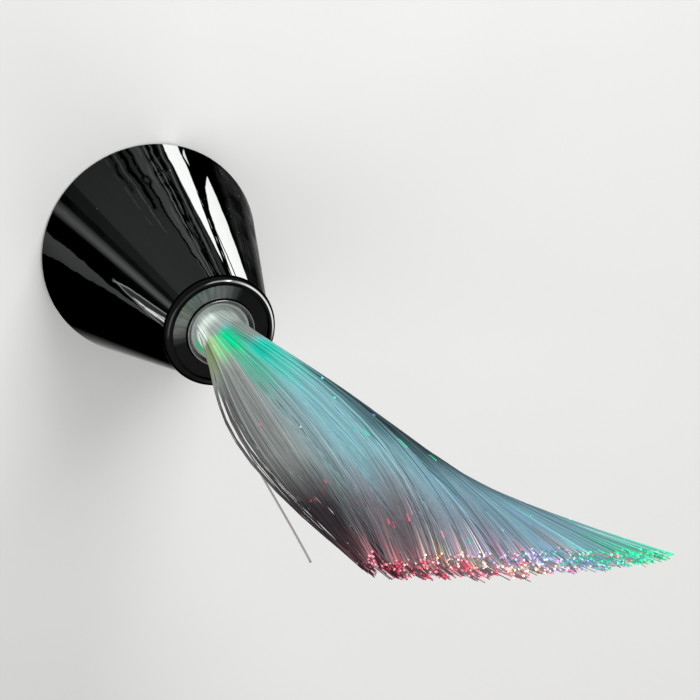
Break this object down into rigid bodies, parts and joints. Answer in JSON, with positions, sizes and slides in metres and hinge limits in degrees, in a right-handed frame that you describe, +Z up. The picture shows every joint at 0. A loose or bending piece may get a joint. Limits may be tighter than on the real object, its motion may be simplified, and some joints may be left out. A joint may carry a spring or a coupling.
{
  "type": "fiber optic lamp",
  "caption": "Table lamp: a spray of light fibres stands in a collar on a polished conical housing that holds a lamp, a turning colour wheel, cells and a push switch.",
  "frame": {"origin": "centre of the underside of the centre foot, on the table", "axes": "+Z up along the cone's axis; +Y towards the back, where the push switch is; the spray leans towards -X +Y"},
  "size_m": [0.1177, 0.1475, 0.3443],
  "materials": {
    "chrome": "mirror-polished plating with fine scuffs",
    "steel": "plain zinc-plated",
    "brass": "plain",
    "aluminium": "satin",
    "fiber": "clear acrylic strands with glowing ends",
    "ferrule": "translucent white, lit from inside",
    "glass": "clear heat glass",
    "moulding": "dark moulded plastic",
    "white_moulding": "white moulded plastic",
    "rubber": "matt black rubber",
    "circuit": "green circuit board",
    "reflector": "bright polished",
    "emitter": "clear dome over a warm white phosphor",
    "cell": "plain printed sleeve with a bare button end",
    "filter_red": "red dyed film",
    "filter_amber": "amber dyed film",
    "filter_blue": "blue dyed film",
    "filter_green": "green dyed film",
    "lead": "insulated wire"
  },
  "bodies": {
    "housing": {"cone_housing": "chrome", "neck_collar": "chrome", "collar_nut": "steel", "aperture_ring": "chrome", "light_tower": "moulding", "window_glass": "glass", "mid_deck": "steel", "wheel_bridge": "steel", "wheel_pin": "steel", "wheel_clip": "steel", "reflector": "reflector", "led_emitter": "emitter", "led_board": "aluminium", "heat_sink": "aluminium", "gear_case": "brass", "motor_can": "steel", "control_board": "circuit", "lead_light": "lead", "lead_motor": "lead", "lead_switch": "lead", "lead_cells": "lead", "base_drum": "moulding", "base_screw_1": "steel", "base_screw_2": "steel", "base_screw_3": "steel", "base_screw_4": "steel", "tower_screw_1": "steel", "tower_screw_2": "steel", "tower_screw_3": "steel", "tower_screw_4": "steel", "rubber_foot_1": "rubber", "rubber_foot_2": "rubber", "rubber_foot_3": "rubber", "rubber_foot_4": "rubber", "battery_tray": "moulding", "cell_1": "cell", "cell_2": "cell", "cell_3": "cell", "contact_right_pair": "brass", "contact_right_single": "brass", "contact_left_pair": "brass", "contact_left_single": "brass", "switch_bezel": "chrome", "switch_nut": "steel", "switch_body": "moulding"},
    "fiber_spray": {"bundle_ferrule": "ferrule", "fiber_fan_left": "fiber", "fiber_fan_mid_left": "fiber", "fiber_fan_mid_right": "fiber", "fiber_fan_right": "fiber"},
    "colour_wheel": {"wheel_frame": "white_moulding", "filter_green": "filter_green", "filter_red": "filter_red", "filter_amber": "filter_amber", "filter_blue": "filter_blue"},
    "motor_pinion": {"drive_pinion": "brass"},
    "base_cover": {"battery_cover": "moulding", "centre_foot": "rubber"},
    "push_button": {"switch_button": "moulding"}
  },
  "joints": [
    {"name": "wheel_spin", "type": "hinge", "parent": "housing", "child": "colour_wheel", "pos_m": [0, 0, 0.0743], "axis": [0, 0, 1], "continuous": true},
    {"name": "pinion_spin", "type": "hinge", "parent": "housing", "child": "motor_pinion", "pos_m": [0.02012, 0, 0.0743], "axis": [0, 0, 1], "continuous": true},
    {"name": "cover_twist", "type": "hinge", "parent": "housing", "child": "base_cover", "pos_m": [0, 0, 0.002], "axis": [0, 0, 1], "range_deg": [0, 25]},
    {"name": "button_press", "type": "slide", "parent": "housing", "child": "push_button", "axis": [0, -0.967, -0.2549], "range_m": [0, 0.0018], "stiffness_N_per_m": 400, "springref_m": -0.001},
    {"name": "spray_lift", "type": "slide", "parent": "housing", "child": "fiber_spray", "axis": [0, 0, 1], "range_m": [0, 0.03]}
  ],
  "couplings": [
    {"joint": "pinion_spin", "follows": "wheel_spin", "ratio": -3}
  ]
}
